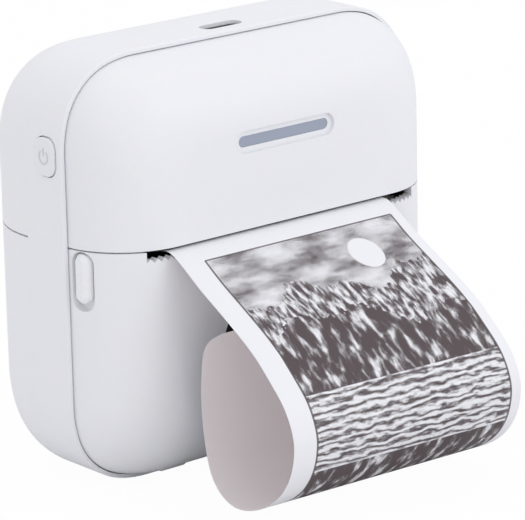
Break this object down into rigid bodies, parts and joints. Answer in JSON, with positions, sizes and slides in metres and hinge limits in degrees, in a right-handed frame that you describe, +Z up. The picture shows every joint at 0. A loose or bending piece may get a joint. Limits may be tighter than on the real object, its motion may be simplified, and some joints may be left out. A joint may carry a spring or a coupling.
{
  "type": "pocket printer",
  "caption": "Palm-sized white thermal printer with rounded corners, a hinged front cover over the paper bay and a strip of printed paper curling from its slot.",
  "frame": {"origin": "on the flat underside of the middle frame, midway across its width, 9.5 mm behind the front parting line", "axes": "+X to the right seen from the front, +Y to the back, +Z up"},
  "size_m": [0.0845, 0.0774, 0.082],
  "materials": {
    "case_white": "satin",
    "smoked_lens": "gloss",
    "light_guide": "frosted",
    "inner_plastic": "matte",
    "steel": "satin",
    "head_metal": "satin",
    "rubber_black": "matte",
    "thermal_paper": "smooth",
    "core_card": "matte",
    "board_green": "satin",
    "battery_wrap": "satin"
  },
  "bodies": {
    "case": {"frame_ring": "case_white", "upper_front_cover": "case_white", "rear_shell_upper": "case_white", "rear_shell_lower": "case_white", "chassis": "inner_plastic", "chassis_screws": "steel", "hinge_pins": "steel", "idler_axle": "steel", "drive_motor": "steel", "head_pivot_pin": "steel", "head_springs": "steel", "paper_web": "thermal_paper", "paper_sensor": "inner_plastic", "main_board": "board_green", "board_screws": "steel", "board_chips": "board_green", "indicator_leds": "light_guide", "indicator_lens": "light_guide", "battery": "battery_wrap", "usb_socket": "steel", "power_switch": "inner_plastic"},
    "door": {"lower_front_cover": "case_white", "window_ring": "case_white", "window_lens": "smoked_lens", "platen_bushes": "inner_plastic", "latch_spring": "steel", "paper_strip": "thermal_paper"},
    "latch": {"latch_slider": "case_white"},
    "button": {"power_button": "case_white"},
    "platen": {"platen_shaft": "steel", "platen_rubber": "rubber_black", "platen_gear": "inner_plastic"},
    "idler": {"idler_gear": "inner_plastic"},
    "pinion": {"motor_pinion": "inner_plastic"},
    "roll": {"paper_roll": "thermal_paper", "paper_core": "core_card"},
    "head": {"thermal_head": "head_metal"}
  },
  "joints": [
    {"name": "door_hinge", "type": "hinge", "parent": "case", "child": "door", "pos_m": [0, -0.0117, 0.0032], "axis": [1, 0, 0], "range_deg": [0, 70]},
    {"name": "latch_slide", "type": "slide", "parent": "door", "child": "latch", "axis": [0, 0, -1], "range_m": [0, 0.0012], "stiffness_N_per_m": 300, "springref_m": -0.0005, "deforming": ["latch_spring"]},
    {"name": "button_press", "type": "slide", "parent": "case", "child": "button", "axis": [1, 0, 0], "range_m": [0, 0.0005], "stiffness_N_per_m": 600, "springref_m": -0.0002},
    {"name": "platen_spin", "type": "hinge", "parent": "door", "child": "platen", "pos_m": [0, -0.014, 0.041], "axis": [1, 0, 0], "continuous": true},
    {"name": "idler_spin", "type": "hinge", "parent": "case", "child": "idler", "pos_m": [0.0314, -0.00218, 0.04308], "axis": [1, 0, 0], "continuous": true},
    {"name": "pinion_spin", "type": "hinge", "parent": "case", "child": "pinion", "pos_m": [0.0314, 0.00247, 0.05305], "axis": [1, 0, 0], "continuous": true},
    {"name": "roll_spin", "type": "hinge", "parent": "case", "child": "roll", "pos_m": [0, -0.001, 0.0226], "axis": [1, 0, 0], "continuous": true},
    {"name": "head_tilt", "type": "hinge", "parent": "case", "child": "head", "pos_m": [0, 0.00049, 0.04484], "axis": [-1, 0, 0], "range_deg": [0, 2], "stiffness_Nm_per_rad": 2, "springref_deg": -2.86, "deforming": ["head_springs"]}
  ],
  "couplings": [
    {"joint": "platen_spin", "follows": "roll_spin", "ratio": 4.1026},
    {"joint": "idler_spin", "follows": "roll_spin", "ratio": -2.0513},
    {"joint": "pinion_spin", "follows": "roll_spin", "ratio": 5.4701}
  ]
}
